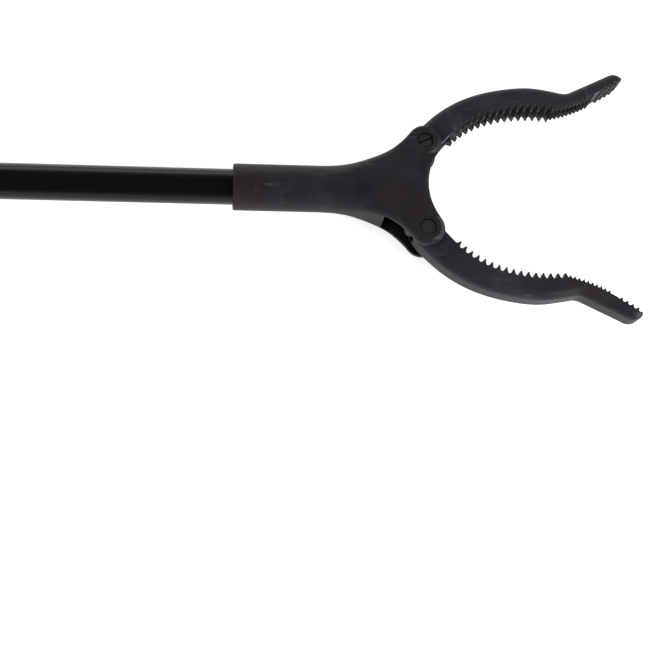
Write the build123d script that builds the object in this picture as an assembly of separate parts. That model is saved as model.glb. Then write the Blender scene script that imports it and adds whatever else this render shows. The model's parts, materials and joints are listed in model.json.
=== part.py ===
from build123d import *
import math
import os

# A reacher grabber lying on its side: a pistol handle with a trigger, a long tube, and a
# head with two toothed jaws. +X runs along the tube to the jaws, +Y points away from the
# grip, +Z is up from the flat side of the handle. The origin is on that flat side, under
# the line of the tube and level with the trigger's pivot. Millimetres throughout.

# ---- tube and lie of the tool
TUBE_R = 8.0
TUBE_WALL = 1.2
AXIS_Z = 13.0
HEAD_X = 634.0
FIT = 0.03                 # radial clearance of a push fit
RUN = 0.05                 # radial clearance of a running fit
SNUG = 0.02                # radial clearance of pressed pins and threads

# ---- head: a round collar that flares into two plates with an ear at each jaw pivot
PIVOT_Y = 20.66
HEAD_HALF = 10.6           # half the head's thickness
COLLAR_R = 10.45
COLLAR_BACK = -86.0
THROAT_START = -51.0
PLATE_START = -12.0
EAR_R = 7.8
EAR_SLOPE = 50.0           # slope of the flare where it meets the ear, degrees
MOUTH_X = 1.2              # the hollowed front edge, on the tool's axis
PLATE_EDGE = 2.0           # rounding of the plates' edges
GAP_HALF = 7.05            # half the gap between the plates
WINDOW_X = -19.0           # closed end of the side windows
SOCKET_X = -46.0           # bottom of the tube's socket
THROAT_BORE = 6.2
FACET_X = 0.4              # the front of each plate leans away from here
FACET_LEAN = 16.0          # degrees
WEB_BACK = -3.2            # the wall between the plates, behind the jaws' meeting point
WEB_HALF = 7.5

# ---- jaws
JAW_HALF = 6.75
JAW_SWING = 32.0           # from shut to open, degrees
JAW_BACK = 3.7             # rounding of the jaws' backs
TAIL_R = 3.0
TIP_GAP = 0.18             # each jaw stops this far from the middle when shut
GROOVE_HALF = 3.1          # half the groove between the two rows of teeth
HEEL = Vector(-3.5, -7.0)   # back of the jaw's inner edge
ROOT = Vector(5.4, -4.4)
CAM_PIN_R = 1.5
CAM_ARM = 10.5             # jaw pivot to cam pin
CAM_SHUT = 15.0            # the cam arm's angle behind the pivot when shut, degrees

# ---- pull mechanism
ROD_R = 1.5
STROKE = 4.5
NUT_FLATS = 6.0
CAM_HALF = 2.25
CAM_WALL = 1.6
BARREL_R = 2.75
SCREW_HEAD_R = 3.45
PIVOT_SHANK_R = 1.3
RECESS_R = 3.8
RECESS_DEEP = 2.4
PIVOT_HEAD = 1.55          # thickness of the heads in the recesses

# ---- handle and trigger
PIVOT_UP = 10.5            # trigger pivot above the rod
TRIGGER_SWING = math.degrees(STROKE / PIVOT_UP)
SHELL_WALL = 2.4
SHELL_EDGE = 5.0
NOSE_X = 38.0
TUBE_BACK = 16.0
TRIGGER_PIN_R = 2.5
BUSH_R = 4.0
FORK_IN = 3.5              # trigger fork: inner and outer faces of its cheeks
FORK_OUT = 7.0
LINK_PIN_R = 2.0
SPRING_SEAT = -34.0
SPIGOT_R = 1.9
HANDLE_SCREW_X = 32.5      # tube locking screws, in the handle and from the jaw pivots
HEAD_SCREW_X = -66.0
LOCK_HEAD_R = 2.2
LOCK_SHANK_R = 1.3
HANG = (-70.0, -92.0)
HANG_R = 4.0
NECK_X = 14.3              # the handle is solid round the tube in front of here
SCREW_BOSS_R = 4.4
SCREW_SHANK_R = 1.4
PIVOT_BOSS_R = 5.4
PIVOT_BOSS_Z = 7.8         # inner faces of the trigger pivot's bosses
PART_LINE = 0.02           # half the hairline gap between the two shells
SHELL_SCREWS = [(25.0, 14.5), (-48.0, 7.0), (-42.0, -38.0), (-62.0, -68.0)]


def disc(radius, low, high, x=0.0, y=0.0):
    """Cylinder along Z between two heights."""
    return Pos(x, y, (low + high) / 2) * Cylinder(radius, high - low)


def bar(radius, start, end):
    """Cylinder along X on the tool's axis."""
    return Pos((start + end) / 2, 0, 0) * Rot(0, 90, 0) * Cylinder(radius, end - start)


def block(x, y, z):
    """Box from (low, high) pairs."""
    low = Vector(x[0], y[0], z[0])
    high = Vector(x[1], y[1], z[1])
    size = high - low
    middle = (low + high) * 0.5
    return Pos(middle) * Box(size.X, size.Y, size.Z)


def hexagon(across_flats, start, end, bore):
    """Hexagon nut along X."""
    face = RegularPolygon(across_flats / math.sqrt(3), 6)
    nut = Pos(start, 0, 0) * Rot(0, 90, 0) * extrude(face, end - start)
    return nut - bar(bore, start - 1, end + 1)


def on_axis(part):
    return Pos(0, 0, AXIS_Z) * part


def at_head(part):
    return Pos(HEAD_X, 0, AXIS_Z) * part


# ------------------------------------------------------------------ head

def head_outline():
    """Plan of the flare: throat, two ears, and the front edge hollowed between them."""
    slope = math.radians(EAR_SLOPE)
    leave = Vector(-EAR_R * math.sin(slope), PIVOT_Y + EAR_R * math.cos(slope))
    mouth_r = (PIVOT_Y ** 2 + MOUTH_X ** 2 - EAR_R ** 2) / (2 * (EAR_R - MOUTH_X))
    toward = Vector(MOUTH_X + mouth_r, -PIVOT_Y).normalized()
    meet = Vector(0, PIVOT_Y) + toward * EAR_R
    flare = Spline(
        [(THROAT_START, COLLAR_R), (-43, 10.55), (-27.5, 12.2), (-16.8, 16.1), (-11.0, 20.1), leave],
        tangents=[(1, 0), (math.cos(slope), math.sin(slope))],
    )
    ear = ThreePointArc(leave, (EAR_R * 0.6, PIVOT_Y + EAR_R * 0.8), meet)
    mouth = ThreePointArc(meet, (MOUTH_X, 0), (meet.X, -meet.Y))
    upper = [flare, ear]
    lower = [edge.mirror(Plane.XZ) for edge in upper]
    back = Line((THROAT_START, COLLAR_R), (THROAT_START, -COLLAR_R))
    return make_face(upper + lower + [mouth, back])


def ring_section(x, half_width, corner):
    """Eight arcs across the throat: a circle when corner equals half_width."""
    height = HEAD_HALF if corner < half_width else half_width
    side = half_width - corner
    rise = height - corner
    lean = math.radians(8)
    near = (side + corner * math.cos(lean), rise + corner * math.sin(lean))
    far = (side + corner * math.sin(lean), rise + corner * math.cos(lean))
    mid = (side + corner * math.sqrt(0.5), rise + corner * math.sqrt(0.5))
    corners = []
    for sy, sz in ((1, 1), (-1, 1), (-1, -1), (1, -1)):
        ends = [near, far] if sy * sz > 0 else [far, near]
        corners.append([(x, sy * p[0], sz * p[1]) for p in (ends[0], mid, ends[1])])
    tops = [(x, 0, height), (x, -half_width, 0), (x, 0, -height), (x, half_width, 0)]
    edges = []
    for index, (first, middle, last) in enumerate(corners):
        edges.append(ThreePointArc(first, middle, last))
        edges.append(ThreePointArc(last, tops[index], corners[(index + 1) % 4][0]))
    return make_face(edges)


def head_shell():
    """Outside of the head: collar, throat and the flared plate, all solid."""
    outline = head_outline()
    plate = extrude(outline, HEAD_HALF, both=True)
    rims = plate.edges().filter_by(lambda e: abs(abs(e.center().Z) - HEAD_HALF) < 0.01)
    rims = rims.filter_by(lambda e: e.center().X > THROAT_START + 0.1)
    plate = fillet(rims, PLATE_EDGE)
    plate = plate & block((PLATE_START, 40), (-60, 60), (-20, 20))
    seam = plate.faces().sort_by(Axis.X)[0]
    sections = [
        ring_section(THROAT_START, COLLAR_R, COLLAR_R),
        ring_section(-44.0, 10.5, 10.5),
        ring_section(-35.0, 11.1, 9.4),
        ring_section(-27.0, 12.45, 6.4),
        ring_section(-19.0, 15.1, 4.2),
        seam,
    ]
    throat = loft(sections)
    collar = bar(COLLAR_R, COLLAR_BACK, THROAT_START)
    collar = fillet(collar.edges().sort_by(Axis.X)[0], 0.8)
    return collar + throat + plate


def facets():
    """What is cut off the plates' fronts, where they lean away between the two ears."""
    reach = 8.0
    wedges = []
    for side in (1, -1):
        wedge = block((0, 30), (-60, 60), (0, reach) if side > 0 else (-reach, 0))
        wedge = Pos(FACET_X, 0, side * HEAD_HALF) * Rot(0, FACET_LEAN * side, 0) * wedge
        for up in (1, -1):
            flat = EAR_R - PLATE_EDGE
            ear = Cone(flat + reach, flat, reach) if side > 0 else Cone(flat, flat + reach, reach)
            wedge -= Pos(0, up * PIVOT_Y, side * (HEAD_HALF - reach / 2)) * ear
            wedge -= disc(flat, -20, 20, 0, up * PIVOT_Y)
        wedges.append(wedge)
    return wedges


def jaw_housing():
    head = head_shell()
    for wedge in facets():
        head -= wedge
    gap = block((WINDOW_X, 40), (-60, 60), (-GAP_HALF, GAP_HALF))
    web = block((WEB_BACK, 20), (-WEB_HALF, WEB_HALF), (-GAP_HALF, GAP_HALF))
    head -= gap - web
    head -= bar(THROAT_BORE, SOCKET_X - 1, WINDOW_X + 1)
    head -= bar(TUBE_R + FIT, COLLAR_BACK - 1, SOCKET_X)
    floor = HEAD_HALF - RECESS_DEEP
    for up in (1, -1):
        head -= disc(BARREL_R + RUN, -20, 20, 0, up * PIVOT_Y)
        head -= disc(RECESS_R, floor, 20, 0, up * PIVOT_Y)
        head -= disc(RECESS_R, -20, -floor, 0, up * PIVOT_Y)
    head -= lock_screw_space(HEAD_SCREW_X, -COLLAR_R)
    pip = Pos(-4.6, -14.4, HEAD_HALF) * Sphere(0.55)
    return head + pip


def lock_screw_space(x, bottom):
    """Hole for a tube locking screw driven in from below."""
    shank = disc(LOCK_SHANK_R + FIT, bottom - 1, -5.5, x)
    return shank + disc(LOCK_HEAD_R + 0.2, bottom - 1, bottom + 1.6, x)


def lock_screw(x, bottom):
    """Small slotted screw with its head at the bottom."""
    screw = disc(LOCK_HEAD_R, bottom + 0.15, bottom + 1.55, x)
    screw += disc(LOCK_SHANK_R, bottom + 1.5, -6.3, x)
    return screw - block((x - 2.5, x + 2.5), (-0.35, 0.35), (bottom, bottom + 0.8))


# ------------------------------------------------------------------ jaws

def teeth(points, count, depth, land):
    """Corners of a row of scalloped teeth whose tips lie on a smooth line."""
    line = Spline(points) if len(points) > 2 else Line(points[0], points[1])
    pitch = line.length / (count - 1)
    flank = [(land / 2, 0.0), (pitch * 0.22, depth * 0.6), (pitch * 0.36, depth * 0.93)]
    corners = []
    for index in range(count):
        share = index / (count - 1)
        tip = line.position_at(share)
        along = line.tangent_at(share)
        out = Vector(-along.Y, along.X)
        for side, half in ((-1, reversed(flank)), (1, flank)):
            corners += [tip + along * (side * across) + out * deep for across, deep in half]
        corners.append(tip + along * (pitch / 2) + out * depth)
    return corners


def cam_point(angle):
    """Cam pin from the jaw's pivot, upper jaw: angle is measured inward from -X."""
    turn = math.radians(angle)
    return Vector(-CAM_ARM * math.cos(turn), -CAM_ARM * math.sin(turn))


def jaw_back():
    """Outer edge of the shut upper jaw from its tail to its tip, about its pivot."""
    cam = cam_point(CAM_SHUT)
    along = Vector(0.839, 0.545)
    slant = Vector(0.73, -0.68)
    tail = cam + Vector(-along.Y, along.X) * TAIL_R
    shoulder = tail + along * 9.6
    bend = Vector(71.6, -10.8)
    neck = Vector(76.1, -12.5)
    tip = Vector(97.2, -14.6)
    crest = [(5.5, 8.4), (14.5, 10.1), (27, 10.35), (40, 7.85), (57, 0.9)]
    return [
        Line(tail, shoulder),
        Spline([shoulder, *crest, bend], tangents=[along, slant]),
        Spline([bend, neck], tangents=[slant, (tip - neck).normalized()]),
        Line(neck, tip),
        ThreePointArc(tip, (100.5, -16.4), (101.7, -19.5)),
    ]


def jaw_blank():
    """Shut upper jaw before its teeth are cut, with its back edges rounded."""
    cam = cam_point(CAM_SHUT)
    back = jaw_back()
    tail = back[0] @ 0
    behind = tail - (back[0] % 0) * 3.5
    corners = [tail, behind, Vector(-14.5, -7.5), HEEL, ROOT]
    corners += [Vector(62, -23), Vector(101.7, -23), back[-1] @ 1]
    inside = [Line(p, q) for p, q in zip(corners[1:], corners[2:])]
    back[0] = Line(behind, back[0] @ 1)
    blank = extrude(make_face(back + inside), JAW_HALF, both=True)
    rims = []
    for edge in blank.edges().filter_by(lambda e: abs(abs(e.center().Z) - JAW_HALF) < 0.01):
        flat = Vector(edge.center().X, edge.center().Y, 0)
        if any((flat - other.center()).length < 0.02 for other in back):
            rims.append(edge)
    blank = fillet(rims, JAW_BACK)
    low = cam + Vector(-0.1, -1).normalized() * TAIL_R
    spare = Polyline([cam, tail, tail - (back[0] % 0) * 12, Vector(-20, -14), HEEL, low], close=True)
    return blank - (extrude(make_face(spare), 20, both=True) - disc(TAIL_R, -20, 20, cam.X, cam.Y))


def gullets():
    """Everything on the gripping side of the teeth: big ones, fine ones, then the tip's ribs."""
    middle = -PIVOT_Y + TIP_GAP
    big = [(15.7, -3.6), (25.8, -2.35), (38.9, -4.35), (51.2, -9.4), (62.3, -16.5)]
    line = [ROOT, Vector(14.0, -1.9)]
    line += teeth(big, 16, 2.3, 0.5)
    line += teeth([(64.9, -16.9), (74.9, -19.5), (83.2, middle)], 10, 1.2, 0.35)
    line += [Vector(85.0, middle + 0.9), Vector(87.6, middle + 0.9)]
    line += teeth([(89.5, middle), (97.9, middle)], 4, 1.2, 0.7)
    line += [Vector(100.6, middle + 0.4), Vector(101.7, -19.1), Vector(104, -19.1)]
    line += [Vector(104, -40), Vector(0, -40)]
    return extrude(make_face(Polyline(line, close=True)), 20, both=True)


def groove():
    """The deep groove between the two rows of teeth, ending before the ribs at the tip."""
    roof = [(-30, -3.2), (0, 4.4), (13.3, 4.4), (30, 4.2), (45, 0.2), (58, -6.2), (68, -12.8), (76, -16.7),
            (85.2, -17.3)]
    shape = Polyline([*roof, (86.8, -30), (-30, -30)], close=True)
    return extrude(make_face(shape), GROOVE_HALF, both=True)


def shut_jaw():
    """Upper jaw, shut, about its pivot at the origin, grooved for the cam plate."""
    jaw = jaw_blank() - gullets() - groove()
    jaw -= block((-30, -3.2), (-30, 30), (-GROOVE_HALF, GROOVE_HALF))
    jaw -= disc(BARREL_R + RUN, -20, 20)
    cam = cam_point(CAM_SHUT)
    jaw -= disc(CAM_PIN_R + SNUG, -20, 20, cam.X, cam.Y)
    return jaw


def open_pose(part, side):
    """A shut upper-jaw part, opened about its pivot, for the upper or lower side."""
    turned = Pos(0, PIVOT_Y, 0) * Rot(0, 0, JAW_SWING) * part
    return turned if side > 0 else turned.mirror(Plane.XZ)


def cam_pin():
    cam = cam_point(CAM_SHUT)
    return disc(CAM_PIN_R, -6.2, 6.2, cam.X, cam.Y)


# ------------------------------------------------------------------ pull mechanism

def cam_path(share):
    """Cam pin in the cam plate's own frame, from open (0) to shut (1)."""
    pin = cam_point(CAM_SHUT + JAW_SWING * (1 - share))
    return pin + Vector(STROKE * share, PIVOT_Y)


def cam_plate():
    slot_r = CAM_PIN_R + RUN
    path = ThreePointArc(cam_path(0), cam_path(0.5), cam_path(1))
    outer = slot_r + CAM_WALL
    arm = make_hull(
        (Pos(cam_path(0)) * Circle(outer)).edges()
        + (Pos(cam_path(1)) * Circle(outer)).edges()
        + (Pos(-9.5, 0) * Circle(outer)).edges()
    )
    slot = SlotArc(path, 2 * slot_r)
    arm = extrude(arm - slot, CAM_HALF, both=True)
    plate = arm + arm.mirror(Plane.XZ) + bar(4.0, -20.0, -9.0)
    return plate - bar(ROD_R + SNUG, -21, -10.5)


def pivot_pin(up):
    """Plain headed pin that closes a jaw's pivot barrel from the front."""
    y = up * PIVOT_Y
    seat = HEAD_HALF - RECESS_DEEP + 0.2
    return disc(SCREW_HEAD_R, seat, seat + PIVOT_HEAD, 0, y) + disc(PIVOT_SHANK_R, -4, seat + 0.1, 0, y)


def pivot_screw(up):
    """The same as a screw with a slotted head."""
    slot = Rot(0, 0, 25) * block((-5, 5), (-0.45, 0.45), (HEAD_HALF - 1.3, HEAD_HALF + 1))
    return pivot_pin(up) - Pos(0, up * PIVOT_Y, 0) * slot


def pivot_barrel(up):
    """Headed sleeve that a jaw turns on, let into the plates from behind."""
    y = up * PIVOT_Y
    seat = -HEAD_HALF + RECESS_DEEP - 0.2
    barrel = disc(SCREW_HEAD_R, seat - PIVOT_HEAD, seat, 0, y)
    barrel += disc(BARREL_R, seat - 0.1, -seat - 0.1, 0, y)
    return barrel - disc(PIVOT_SHANK_R + RUN, -4.5, 20, 0, y)


def rod_guide(face, inward):
    """Flanged plug in the tube's end that keeps the rod central."""
    far = face + inward * 12
    lip = face - inward * 1.5
    plug = bar(TUBE_R - TUBE_WALL - FIT, min(face, far), max(face, far))
    plug += bar(TUBE_R - 0.4, min(face, lip), max(face, lip))
    return plug - bar(ROD_R + RUN, min(far, lip) - 1, max(far, lip) + 1)


def pull_rod():
    return bar(ROD_R, STROKE / 2 + 2.5, HEAD_X - 10.6)


def tube():
    front = HEAD_X + SOCKET_X - 1.5
    pipe = bar(TUBE_R, TUBE_BACK, front) - bar(TUBE_R - TUBE_WALL, TUBE_BACK - 1, front + 1)
    for x in (HANDLE_SCREW_X, HEAD_X + HEAD_SCREW_X):
        pipe -= disc(LOCK_SHANK_R + RUN, -9, -5, x)
    return pipe


# ------------------------------------------------------------------ trigger end

def rod_end():
    """Block screwed on the rod's back end, with a spigot for the return spring."""
    start = STROKE / 2 - 6
    end = STROKE / 2 + 8
    body = block((start, end), (-4.2, 4.2), (-3.1, 3.1))
    body = fillet(body.edges().filter_by(Axis.X), 1.0)
    body += bar(SPIGOT_R, start - 6, start + 1)
    body -= bar(ROD_R + SNUG, STROKE / 2 + 2.4, end + 1)
    return body - disc(LINK_PIN_R + SNUG, -9, 9, STROKE / 2, 0)


def return_spring():
    """Compression spring from the seat in the handle to the washer behind the rod end."""
    wire = 0.45
    coil = 2.7
    front = STROKE / 2 - 7.1 - wire
    back = SPRING_SEAT + 0.1 + wire
    turns = 9
    path = Helix((front - back) / turns, front - back, coil)
    start = path.position_at(0)
    profile = Plane(origin=start, z_dir=path.tangent_at(0)) * Circle(wire)
    spring = sweep(profile, path, is_frenet=True)
    return Pos(back, 0, 0) * Rot(0, 90, 0) * spring


def spring_washer():
    start = STROKE / 2 - 6
    return bar(3.3, start - 1.05, start - 0.05) - bar(SPIGOT_R + RUN, start - 2, start + 1)


def trigger_outline():
    """Side view of the trigger at rest, pivot at (0, PIVOT_UP)."""
    top = PIVOT_UP
    front = Spline([(8, top), (9, -4), (8.6, -18), (5.0, -42), (8.5, -68), (15.5, -84)],
                   tangents=[(0, -1), (0.6, -1)])
    toe = ThreePointArc((15.5, -84), (14.5, -91.5), (7.5, -92.5))
    rear = Spline([(7.5, -92.5), (-1.0, -78), (-7.0, -50), (-7.6, -20), (-8, top)],
                  tangents=[(-1, 0.5), (0, 1)])
    crown = ThreePointArc((-8, top), (0, top + 8), (8, top))
    return make_face([front, toe, rear, crown])


def trigger():
    lever = extrude(trigger_outline(), FORK_OUT, both=True)
    rims = lever.edges().filter_by(lambda e: abs(abs(e.center().Z) - FORK_OUT) < 0.01)
    rims = rims.filter_by(lambda e: e.center().Y < PIVOT_UP - 5)
    lever = fillet(rims, 2.6)
    lever -= block((-20, 20), (-9, 40), (-FORK_IN, FORK_IN))
    lever -= disc(BUSH_R + FIT, -20, 20, 0, PIVOT_UP)
    reach = math.radians(TRIGGER_SWING / 2)
    slot = SlotCenterToCenter(0.9, 2 * (LINK_PIN_R + 0.1))
    slot = Pos(PIVOT_UP * math.sin(reach), PIVOT_UP * (1 - math.cos(reach)) - 0.1) * (
        Rot(0, 0, math.degrees(reach) + 90) * slot)
    return lever - extrude(slot, 20, both=True)


def trigger_bush(side):
    """Flanged bush in one cheek of the trigger's fork."""
    low, high = (FORK_IN, FORK_OUT) if side > 0 else (-FORK_OUT, -FORK_IN)
    lip = (FORK_OUT, FORK_OUT + 0.5) if side > 0 else (-FORK_OUT - 0.5, -FORK_OUT)
    bush = disc(BUSH_R, low, high, 0, PIVOT_UP) + disc(5.6, lip[0], lip[1], 0, PIVOT_UP)
    return bush - disc(TRIGGER_PIN_R + RUN, -20, 20, 0, PIVOT_UP)


# ------------------------------------------------------------------ handle shells

def handle_outline(inset=0.0):
    """Side view of the handle: nose round the tube, hump over the pivot, raked grip."""
    corners = [
        (NOSE_X, 12.0, 6.5), (12, 22.5, 24), (-24, 23.5, 30), (-60, 13, 12),
        (-64, -8, 16), (-88, -102, 13), (-50, -111, 12), (-31, -24, 22),
        (-26, -12.5, 9), (16, -12.5, 20), (NOSE_X, -12.0, 6.5),
    ]
    shape = Polyline([(x, y) for x, y, r in corners], close=True)
    face = make_face(shape)
    for x, y, radius in corners:
        spot = face.vertices().sort_by_distance((x, y, 0))[0]
        face = fillet(spot, radius)
    return offset(face, -inset) if inset else face


def handle_body():
    """Both shells as one hollow body about the tool's axis, before they are parted."""
    body = extrude(handle_outline(), AXIS_Z, both=True)
    rims = body.edges().filter_by(lambda e: abs(abs(e.center().Z) - AXIS_Z) < 0.01)
    body = fillet(rims, SHELL_EDGE)
    hollow = extrude(handle_outline(SHELL_WALL), AXIS_Z - SHELL_WALL, both=True)
    hollow -= block((NECK_X, 60), (-30, 30), (-20, 20))
    for x, y in SHELL_SCREWS:
        hollow -= disc(SCREW_BOSS_R, -20, 20, x, y)
    hollow -= disc(HANG_R + SHELL_WALL, -20, 20, HANG[0], HANG[1])
    for low, high in ((-20, -PIVOT_BOSS_Z), (PIVOT_BOSS_Z, 20)):
        hollow -= disc(PIVOT_BOSS_R, low, high, 0, PIVOT_UP)
    hollow -= block((SPRING_SEAT - SHELL_WALL, SPRING_SEAT), (-9, 9), (-20, 20))
    return body - hollow


def handle_shells():
    """Front and rear shells, parted on the plane of the tube's axis."""
    body = handle_body()
    body -= bar(TUBE_R + FIT, NECK_X, NOSE_X + 5)
    body -= block((-22.5, 12.5), (-20, -9), (-7.7, 7.7))
    body -= disc(HANG_R, -20, 20, HANG[0], HANG[1])
    body -= disc(TRIGGER_PIN_R + FIT, -10.5, 10.5, 0, PIVOT_UP)
    body -= lock_screw_space(HANDLE_SCREW_X, -AXIS_Z)
    for x, y in SHELL_SCREWS:
        body -= disc(SCREW_SHANK_R + RUN, -AXIS_Z - 1, 6.4, x, y)
        body -= disc(3.3, -AXIS_Z - 1, -AXIS_Z + 5, x, y)
    front = body & block((-200, 200), (-200, 200), (PART_LINE, 40))
    rear = body & block((-200, 200), (-200, 200), (-40, -PART_LINE))
    return front, rear


def shell_screw(x, y):
    """Slotted self-tapping screw, head sunk in the rear shell."""
    seat = -AXIS_Z + 5
    screw = disc(2.9, seat - 2.2, seat - 0.02, x, y) + disc(SCREW_SHANK_R, seat - 0.1, 6, x, y)
    return screw - block((x - 4, x + 4), (y - 0.4, y + 0.4), (seat - 3, seat - 1.4))


def write(name, part):
    part.label = name
    export_step(part, f"parts/{name}.step")


def group(*solids):
    return Compound(children=[s if isinstance(s, Solid) else s.solids()[0] for s in solids])


def main():
    os.makedirs("parts", exist_ok=True)
    write("jaw_housing", at_head(jaw_housing()))
    jaw = shut_jaw()
    write("upper_jaw", at_head(open_pose(jaw, 1)))
    write("lower_jaw", at_head(open_pose(jaw, -1)))
    write("upper_cam_pin", at_head(open_pose(cam_pin(), 1)))
    write("lower_cam_pin", at_head(open_pose(cam_pin(), -1)))
    write("upper_pivot_screw", at_head(pivot_screw(1)))
    write("lower_pivot_pin", at_head(pivot_pin(-1)))
    write("jaw_pivot_barrels", group(*[at_head(pivot_barrel(up)) for up in (1, -1)]))
    write("cam_plate", at_head(cam_plate()))
    write("cam_lock_nut", at_head(hexagon(NUT_FLATS, -22.6, -20.2, ROD_R + SNUG)))
    write("front_rod_guide", on_axis(rod_guide(HEAD_X + SOCKET_X - 1.5, -1)))
    write("rear_rod_guide", on_axis(rod_guide(TUBE_BACK, 1)))
    write("pull_rod", on_axis(pull_rod()))
    write("tube", on_axis(tube()))
    lock_screws = [
        at_head(lock_screw(HEAD_SCREW_X, -COLLAR_R)),
        on_axis(lock_screw(HANDLE_SCREW_X, -AXIS_Z)),
    ]
    write("tube_lock_screws", group(*lock_screws))
    write("rod_end", on_axis(rod_end()))
    write("rod_end_pin", on_axis(disc(LINK_PIN_R, -6.9, 6.9, STROKE / 2, 0)))
    write("rod_end_lock_nut", on_axis(hexagon(NUT_FLATS, 10.4, 12.8, ROD_R + SNUG)))
    write("spring_washer", on_axis(spring_washer()))
    write("return_spring", on_axis(return_spring()))
    write("trigger", on_axis(trigger()))
    write("trigger_pivot_pin", on_axis(disc(TRIGGER_PIN_R, -10.3, 10.3, 0, PIVOT_UP)))
    write("trigger_bushes", group(*[on_axis(trigger_bush(side)) for side in (1, -1)]))
    front, rear = handle_shells()
    write("handle_front_shell", on_axis(front))
    write("handle_rear_shell", on_axis(rear))
    write("handle_screws", group(*[on_axis(shell_screw(x, y)) for x, y in SHELL_SCREWS]))


if __name__ == "__main__":
    main()
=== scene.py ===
import json
import math

import bmesh
import bpy
from mathutils import Matrix, Vector


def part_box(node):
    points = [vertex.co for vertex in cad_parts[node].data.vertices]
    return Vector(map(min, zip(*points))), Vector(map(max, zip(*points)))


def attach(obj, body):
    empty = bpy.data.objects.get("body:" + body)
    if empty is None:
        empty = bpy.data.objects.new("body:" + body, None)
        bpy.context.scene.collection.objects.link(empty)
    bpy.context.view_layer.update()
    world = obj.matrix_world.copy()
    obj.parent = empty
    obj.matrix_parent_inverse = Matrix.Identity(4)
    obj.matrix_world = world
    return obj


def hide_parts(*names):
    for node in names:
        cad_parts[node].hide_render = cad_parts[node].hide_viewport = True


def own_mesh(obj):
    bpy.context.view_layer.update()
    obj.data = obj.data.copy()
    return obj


# A reacher grabber lying on its side on a pale table. Everything is in metres, in the
# frame of the CAD model: +X along the tube to the jaws, +Z up.

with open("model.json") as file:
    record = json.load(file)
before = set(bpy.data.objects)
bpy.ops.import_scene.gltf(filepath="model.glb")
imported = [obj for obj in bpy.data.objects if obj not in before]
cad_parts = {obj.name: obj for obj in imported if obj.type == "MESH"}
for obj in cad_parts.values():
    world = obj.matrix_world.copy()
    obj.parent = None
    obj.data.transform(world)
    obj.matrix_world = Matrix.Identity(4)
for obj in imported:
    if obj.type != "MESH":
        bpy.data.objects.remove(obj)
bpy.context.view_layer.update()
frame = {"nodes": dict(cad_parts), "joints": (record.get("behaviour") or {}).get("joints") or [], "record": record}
NODES = frame["nodes"]
JOINTS = {joint["name"]: joint for joint in frame["joints"]}

# The point on the tube's axis between the two jaw pivots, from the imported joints.
UPPER_PIVOT = Vector(JOINTS["upper_jaw_hinge"]["pos_m"])
LOWER_PIVOT = Vector(JOINTS["lower_jaw_hinge"]["pos_m"])
HEAD = (UPPER_PIVOT + LOWER_PIVOT) / 2
GRIP = Vector((0, -0.03, 0))        # near the trigger, where the handle's light is aimed


# ------------------------------------------------------------------ camera and studio

# The camera is fitted to the photo's open view, so that the render lines up with it.
CAMERA_LENS = 63.96
CAMERA_SENSOR = 36.0
CAMERA_TILT = (-0.27308, 0.10316, 0.01374)      # pitch, yaw and roll of the view, radians
CAMERA_SHIFT = Vector((0.044392, 0.060412, -0.523943))   # the head as the camera sees it

SKY_STRENGTH = 0.13
HEAD_LIGHTS = (
    # name, place along X and Y from the head, height, size of the panel, watts
    ("right", 0.85, -0.35, 0.62, (0.9, 0.7), 8.5),
    ("left", -0.95, -0.1, 0.75, (0.7, 0.9), 3.5),
    ("back", -0.25, 0.85, 0.32, (1.6, 0.3), 5),
    ("rim", 0.60, -0.38, 0.24, (0.2, 0.2), 3.5),
)
GRIP_LIGHT_PLACE = (-0.6, -0.5, 0.6)
GRIP_LIGHT_SIZE = (0.7, 0.7)
GRIP_LIGHT_WATTS = 5

FLOOR_SIZE = 14
FLOOR_MIDDLE_X = 0.3
FLOOR_HEIGHT = -0.0005      # just under the tool's flat side, which lies at z = 0
FLOOR_GLOW = 0.61           # light of its own, so that the floor renders white


def make_camera():
    data = bpy.data.cameras.new("camera")
    data.lens = CAMERA_LENS
    data.sensor_width = CAMERA_SENSOR
    data.clip_start = 0.01
    data.clip_end = 20
    camera = bpy.data.objects.new("camera", data)
    bpy.context.scene.collection.objects.link(camera)
    pitch, yaw, roll = CAMERA_TILT
    turn = (Matrix.Rotation(roll, 3, "Z") @ Matrix.Rotation(pitch, 3, "X")
            @ Matrix.Rotation(yaw, 3, "Y"))
    back = turn.transposed()
    camera.matrix_world = Matrix.Translation(HEAD - back @ CAMERA_SHIFT) @ back.to_4x4()
    bpy.context.scene.camera = camera


def area_light(name, place, target, size, power):
    """A rectangular soft light that faces its target."""
    data = bpy.data.lights.new(name, "AREA")
    data.shape = "RECTANGLE"
    data.size, data.size_y = size
    data.energy = power
    light = bpy.data.objects.new(name, data)
    bpy.context.scene.collection.objects.link(light)
    light.location = place
    light.rotation_euler = (target - Vector(place)).to_track_quat("-Z", "Y").to_euler()


def make_studio():
    """Dim surroundings, four soft lights around the head and one for the handle."""
    world = bpy.data.worlds.new("studio")
    bpy.context.scene.world = world
    world.use_nodes = True
    sky = world.node_tree.nodes["Background"]
    sky.inputs["Color"].default_value = (0.98, 0.99, 1.0, 1)
    sky.inputs["Strength"].default_value = SKY_STRENGTH
    for name, along, across, height, size, watts in HEAD_LIGHTS:
        area_light(name, (HEAD.x + along, HEAD.y + across, height), HEAD, size, watts)
    area_light("handle_fill", GRIP_LIGHT_PLACE, GRIP, GRIP_LIGHT_SIZE, GRIP_LIGHT_WATTS)
    bpy.context.scene.view_settings.view_transform = "Standard"
    bpy.context.scene.view_settings.exposure = 0.0


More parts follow.
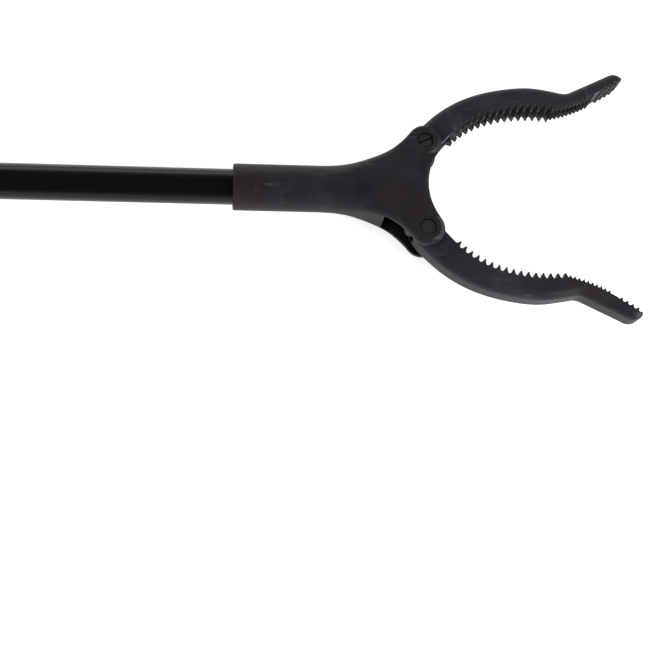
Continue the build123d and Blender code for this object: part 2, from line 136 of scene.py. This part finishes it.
def make_floor():
    bpy.ops.mesh.primitive_plane_add(size=FLOOR_SIZE, location=(FLOOR_MIDDLE_X, 0, FLOOR_HEIGHT))
    floor = bpy.context.object
    floor.name = "floor"
    material, tree = new_material("floor_paint", {
        "Roughness": 0.75, "Specular IOR Level": 0.2,
        "Emission Strength": FLOOR_GLOW, "Emission Color": (1, 1, 1, 1)})
    grain = tree.noise(3.0, 4, 0.5)
    tree.colour(tree.ramp(grain, (0, (0.93, 0.93, 0.93)), (1, (0.97, 0.97, 0.97))))
    floor.data.materials.append(material)


# ------------------------------------------------------------------ material tools

def new_material(name, inputs=None):
    """A material and its Tree, with plain values for the shader's inputs that have them."""
    material = bpy.data.materials.new(name)
    material.use_nodes = True
    tree = Tree(material)
    for socket, value in (inputs or {}).items():
        tree.shader.inputs[socket].default_value = value
    return material, tree


class Tree:
    """Short calls for the few kinds of node that the materials below are made of."""

    def __init__(self, material):
        self.nodes = material.node_tree.nodes
        self.links = material.node_tree.links
        self.shader = self.nodes["Principled BSDF"]
        self.place = self.nodes.new("ShaderNodeTexCoord").outputs["Object"]

    def link(self, source, target):
        self.links.new(source, target)

    def colour(self, source):
        self.link(source, self.shader.inputs["Base Color"])

    def roughness(self, source):
        self.link(source, self.shader.inputs["Roughness"])

    def stretched(self, scale, turn=(0, 0, 0)):
        mapping = self.nodes.new("ShaderNodeMapping")
        mapping.inputs["Scale"].default_value = scale
        mapping.inputs["Rotation"].default_value = turn
        self.link(self.place, mapping.inputs["Vector"])
        return mapping.outputs["Vector"]

    def noise(self, scale, detail=4, roughness=0.5, vector=None, distortion=0.0):
        node = self.nodes.new("ShaderNodeTexNoise")
        node.inputs["Scale"].default_value = scale
        node.inputs["Detail"].default_value = detail
        node.inputs["Roughness"].default_value = roughness
        node.inputs["Distortion"].default_value = distortion
        self.link(vector or self.place, node.inputs["Vector"])
        return node.outputs["Fac"]

    def cells(self, scale, vector=None):
        node = self.nodes.new("ShaderNodeTexVoronoi")
        node.inputs["Scale"].default_value = scale
        self.link(vector or self.place, node.inputs["Vector"])
        return node.outputs["Distance"]

    def ramp(self, value, *stops):
        node = self.nodes.new("ShaderNodeValToRGB")
        ramp = node.color_ramp
        while len(ramp.elements) < len(stops):
            ramp.elements.new(0.5)
        for element, (place, colour) in zip(ramp.elements, stops):
            element.position = place
            element.color = (*colour, 1)
        self.link(value, node.inputs["Fac"])
        return node.outputs["Color"]

    def grey(self, value, *stops):
        """A ramp between plain levels."""
        return self.ramp(value, *[(place, (level, level, level)) for place, level in stops])

    def math(self, kind, a, b=0.0):
        node = self.nodes.new("ShaderNodeMath")
        node.operation = kind
        for socket, value in zip(node.inputs, (a, b)):
            if isinstance(value, (int, float)):
                socket.default_value = value
            else:
                self.link(value, socket)
        return node.outputs["Value"]

    def scaled(self, value, by, plus):
        """value * by + plus"""
        return self.math("ADD", self.math("MULTIPLY", value, by), plus)

    def mix(self, share, a, b):
        """a where share is 0 and b where it is 1."""
        node = self.nodes.new("ShaderNodeMix")
        node.data_type = "RGBA"
        for socket, value in (("Factor", share), ("A", a), ("B", b)):
            socket = node.inputs[socket]
            if isinstance(value, (int, float)):
                socket.default_value = value
            elif isinstance(value, tuple):
                socket.default_value = (*value, 1)
            else:
                self.link(value, socket)
        return node.outputs["Result"]

    def edges(self, width=0.0005):
        """1 on outward edges, fading to 0 at about that width from them."""
        geometry = self.nodes.new("ShaderNodeNewGeometry")
        bevel = self.nodes.new("ShaderNodeBevel")
        bevel.samples = 4
        bevel.inputs["Radius"].default_value = width
        dot = self.nodes.new("ShaderNodeVectorMath")
        dot.operation = "DOT_PRODUCT"
        self.link(bevel.outputs["Normal"], dot.inputs[0])
        self.link(geometry.outputs["Normal"], dot.inputs[1])
        corner = self.grey(dot.outputs["Value"], (0.86, 1), (0.985, 0))
        outward = self.grey(geometry.outputs["Pointiness"], (0.495, 0), (0.515, 1))
        return self.math("MULTIPLY", corner, outward)

    def painted_corner_shade(self, reach):
        """Mask for painted shade: 1 deep in corners and hollows, 0 in the open, looking that far around."""
        node = self.nodes.new("ShaderNodeAmbientOcclusion")
        node.samples = 6
        node.inputs["Distance"].default_value = reach
        return self.grey(node.outputs["AO"], (0.38, 1), (0.86, 0))

    def bump(self, height, strength, distance):
        node = self.nodes.new("ShaderNodeBump")
        node.inputs["Strength"].default_value = strength
        node.inputs["Distance"].default_value = distance
        self.link(height, node.inputs["Height"])
        self.link(node.outputs["Normal"], self.shader.inputs["Normal"])


# ------------------------------------------------------------------ materials

def moulded_nylon(name, dark, light, brown, worn, roughness):
    """Satin glass-filled nylon: mottled, browner in patches, scuffed, with painted shade in its corners."""
    material, tree = new_material(name, {"Specular IOR Level": 0.14, "IOR": 1.5})
    clouds = tree.noise(55, 5, 0.6, distortion=0.8)
    patches = tree.noise(24, 3, 0.5)
    grain = tree.noise(2600, 2, 0.6)
    scuffs = tree.noise(300, 5, 0.72, vector=tree.stretched((0.16, 1, 1), (0, 0, 0.35)))
    rubs = tree.noise(130, 4, 0.65, vector=tree.stretched((1, 0.3, 1), (0, 0, 0.9)))
    base = tree.ramp(clouds, (0.34, dark), (0.66, light))
    base = tree.mix(tree.grey(patches, (0.48, 0), (0.64, 0.85)), base, brown)
    scratched = tree.math("ADD", tree.grey(scuffs, (0.60, 0), (0.72, 0.55)),
                          tree.grey(rubs, (0.60, 0), (0.74, 0.35)))
    rim = tree.math("MULTIPLY", tree.edges(0.0006), tree.grey(rubs, (0.42, 0.08), (0.68, 0.75)))
    base = tree.mix(tree.math("MAXIMUM", scratched, rim), base, worn)
    # Corners and hollows are darkened towards near black by ambient occlusion: painted shade.
    tree.colour(tree.mix(tree.painted_corner_shade(0.005), base, (0.003, 0.003, 0.003)))
    rough = tree.scaled(clouds, 0.18, roughness - 0.09)
    tree.roughness(tree.scaled(scuffs, 0.10, rough))
    height = tree.scaled(grain, 0.5, tree.math("MULTIPLY", clouds, 1.5))
    tree.bump(tree.math("ADD", height, scuffs), 0.4, 0.00006)
    return material


def coated_tube():
    """Smooth black coating: tight gloss with faint draw lines and dust."""
    material, tree = new_material("tube_coating", {"Specular IOR Level": 0.20})
    lines = tree.noise(500, 3, 0.6, vector=tree.stretched((0.004, 1, 1)))
    haze = tree.noise(25, 4, 0.6)
    specks = tree.cells(900)
    colour = tree.ramp(haze, (0.3, (0.0010, 0.0010, 0.0012)), (0.7, (0.0022, 0.0021, 0.0025)))
    dusty = tree.mix(tree.grey(specks, (0.0, 0.25), (0.05, 0)), colour, (0.03, 0.03, 0.032))
    tree.colour(dusty)
    rough = tree.scaled(lines, 0.10, 0.22)
    tree.roughness(tree.scaled(haze, 0.06, rough))
    tree.bump(lines, 0.12, 0.00003)
    return material


def metal(name, colour, roughness, stretch=(1, 1, 1)):
    """Bare or plated metal with tool marks and a little staining."""
    material, tree = new_material(name, {"Metallic": 1.0})
    marks = tree.noise(900, 4, 0.6, vector=tree.stretched(stretch))
    stain = tree.noise(160, 4, 0.6)
    darker = tuple(c * 0.62 for c in colour)
    body = tree.mix(tree.grey(stain, (0.4, 0), (0.75, 0.8)), colour, darker)
    bright = tuple(min(1, c * 1.25) for c in colour)
    tree.colour(tree.mix(tree.edges(), body, bright))
    tree.roughness(tree.scaled(marks, 0.2, roughness - 0.1))
    tree.bump(marks, 0.25, 0.00004)
    return material


def black_oxide():
    """Blackened steel with rubbed edges and painted shade in its hollows."""
    material, tree = new_material("black_oxide", {"Specular IOR Level": 0.22})
    marks = tree.noise(1200, 4, 0.6)
    stain = tree.noise(300, 4, 0.6)
    body = tree.ramp(stain, (0.35, (0.018, 0.0168, 0.0195)), (0.7, (0.027, 0.0255, 0.0288)))
    worn = tree.math("MULTIPLY", tree.edges(0.0003), tree.grey(marks, (0.4, 0.1), (0.65, 0.8)))
    body = tree.mix(worn, body, (0.06, 0.058, 0.056))
    # Hollows are darkened towards black by ambient occlusion: painted shade.
    tree.colour(tree.mix(tree.painted_corner_shade(0.002), body, (0.002, 0.002, 0.002)))
    tree.roughness(tree.scaled(marks, 0.2, 0.3))
    tree.bump(marks, 0.3, 0.00005)
    return material


def natural_acetal():
    """Off-white bearing plastic, slightly translucent, with grease staining."""
    material, tree = new_material("natural_acetal", {
        "Subsurface Weight": 0.15, "Subsurface Radius": (0.002, 0.0018, 0.0015)})
    stain = tree.noise(220, 4, 0.6)
    grain = tree.noise(1500, 3, 0.6)
    tree.colour(tree.ramp(stain, (0.35, (0.62, 0.60, 0.55)), (0.7, (0.75, 0.74, 0.70))))
    tree.roughness(tree.scaled(grain, 0.2, 0.3))
    tree.bump(grain, 0.2, 0.00004)
    return material


def black_acetal():
    """Black bearing plastic with a greasy sheen."""
    material, tree = new_material("black_acetal")
    stain = tree.noise(180, 4, 0.6)
    grain = tree.noise(1500, 3, 0.6)
    tree.colour(tree.ramp(stain, (0.35, (0.006, 0.006, 0.007)), (0.7, (0.012, 0.0115, 0.012))))
    tree.roughness(tree.scaled(grain, 0.2, 0.34))
    tree.bump(grain, 0.2, 0.00004)
    return material


def textured_grip(name, dark, light):
    """Handle plastic with a spark-eroded pebble texture that catches soft light, and a painted sheen on its worn
    edges.
    """
    material, tree = new_material(name, {"Specular IOR Level": 0.4})
    pebbles = tree.cells(1300)
    clouds = tree.noise(45, 4, 0.55)
    wear = tree.noise(90, 4, 0.6)
    base = tree.ramp(clouds, (0.3, dark), (0.75, light))
    # Outward edges are painted lighter, patchy with the wear noise: a painted sheen on worn edges.
    painted_edge_sheen = tree.math("MULTIPLY", tree.edges(), tree.grey(wear, (0.35, 0.2), (0.7, 0.9)))
    tree.colour(tree.mix(painted_edge_sheen, base, tuple(c * 2.2 for c in light)))
    tree.roughness(tree.math("SUBTRACT", 0.62, tree.math("MULTIPLY", wear, 0.16)))
    tree.bump(pebbles, 0.45, 0.00012)
    return material


def dress():
    """Gives each CAD node the finish of its material slot, and returns the spring's."""
    head = moulded_nylon("head_nylon", (0.0108, 0.0102, 0.0128), (0.0210, 0.0198, 0.0242),
                         (0.0190, 0.0142, 0.0172), (0.068, 0.064, 0.070), 0.46)
    jaws = moulded_nylon("jaw_nylon", (0.0150, 0.0140, 0.0182), (0.0290, 0.0272, 0.0335),
                         (0.0220, 0.0180, 0.0220), (0.075, 0.071, 0.078), 0.44)
    grip = textured_grip("handle_plastic", (0.020, 0.019, 0.021), (0.029, 0.028, 0.030))
    lever = textured_grip("trigger_plastic", (0.026, 0.025, 0.027), (0.036, 0.035, 0.037))
    steel = metal("drawn_steel", (0.56, 0.56, 0.57), 0.32, (0.02, 1, 1))
    pins = metal("ground_pin", (0.60, 0.60, 0.61), 0.28, (1, 1, 0.1))
    zinc = metal("zinc_plate", (0.62, 0.63, 0.66), 0.3)
    spring = metal("spring_wire", (0.48, 0.47, 0.46), 0.34)
    finishes = {
        "head_nylon": head,
        "jaw_nylon": jaws,
        "tube_black": coated_tube(),
        "black_steel": black_oxide(),
        "steel_pin": pins,
        "rod_steel": steel,
        "black_acetal": black_acetal(),
        "spring_steel": spring,
        "zinc_steel": zinc,
        "acetal": natural_acetal(),
        "handle_plastic": grip,
        "trigger_plastic": lever,
    }
    for part in frame["record"]["subparts"]:
        node = NODES[part["node"]]
        for slot in node.material_slots:
            slot.material = finishes[part["material_slot"]]
    return spring


# ------------------------------------------------------------------ return spring

SPRING_WIRE = 0.00045       # radius of the wire
SPRING_TURNS = 10
SPRING_END_PITCH = 2.1      # rise of a closed end turn, in radii of the wire
SPRING_STEPS = 28           # rings of the mesh to a turn
SPRING_SIDES = 10           # corners of a ring


def coil_spring(finish):
    """Compression spring with closed flat ends, built at the length of the CAD spring."""
    low, high = (Vector(corner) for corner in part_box("return_spring"))
    coil = (high.y - low.y) / 2 - SPRING_WIRE
    centre = (low + high) / 2
    start = low.x + SPRING_WIRE
    length = high.x - low.x - 2 * SPRING_WIRE
    closed = SPRING_END_PITCH * SPRING_WIRE / length     # share of the length in an end turn
    steps = SPRING_TURNS * SPRING_STEPS
    mesh = bmesh.new()
    rings = []
    for step in range(steps + 1):
        turn = step / SPRING_STEPS
        first = min(1, turn)
        inner = min(1, max(0, (turn - 1) / (SPRING_TURNS - 2)))
        last = max(0, turn - SPRING_TURNS + 1)
        share = closed * first + (1 - 2 * closed) * inner + closed * last
        angle = math.tau * turn
        out = Vector((0, math.cos(angle), math.sin(angle)))
        middle = Vector((start + length * share, centre.y, centre.z)) + out * coil
        ring = []
        for side in range(SPRING_SIDES):
            tilt = math.tau * side / SPRING_SIDES
            corner = out * math.cos(tilt) + Vector((math.sin(tilt), 0, 0))
            ring.append(mesh.verts.new(middle + corner * SPRING_WIRE))
        rings.append(ring)
    for ring, following in zip(rings, rings[1:]):
        for side in range(SPRING_SIDES):
            other = (side + 1) % SPRING_SIDES
            mesh.faces.new((ring[side], ring[other], following[other], following[side]))
    mesh.faces.new(rings[0])
    mesh.faces.new(reversed(rings[-1]))
    bmesh.ops.recalc_face_normals(mesh, faces=mesh.faces)
    for face in mesh.faces:
        face.smooth = len(face.verts) == 4
    data = bpy.data.meshes.new("coil_spring")
    mesh.to_mesh(data)
    mesh.free()
    data.materials.append(finish)
    spring = bpy.data.objects.new("coil_spring", data)
    bpy.context.scene.collection.objects.link(spring)
    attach(spring, "body")
    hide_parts("return_spring")
    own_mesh(spring)


def main():
    make_camera()
    make_studio()
    make_floor()
    coil_spring(dress())


main()
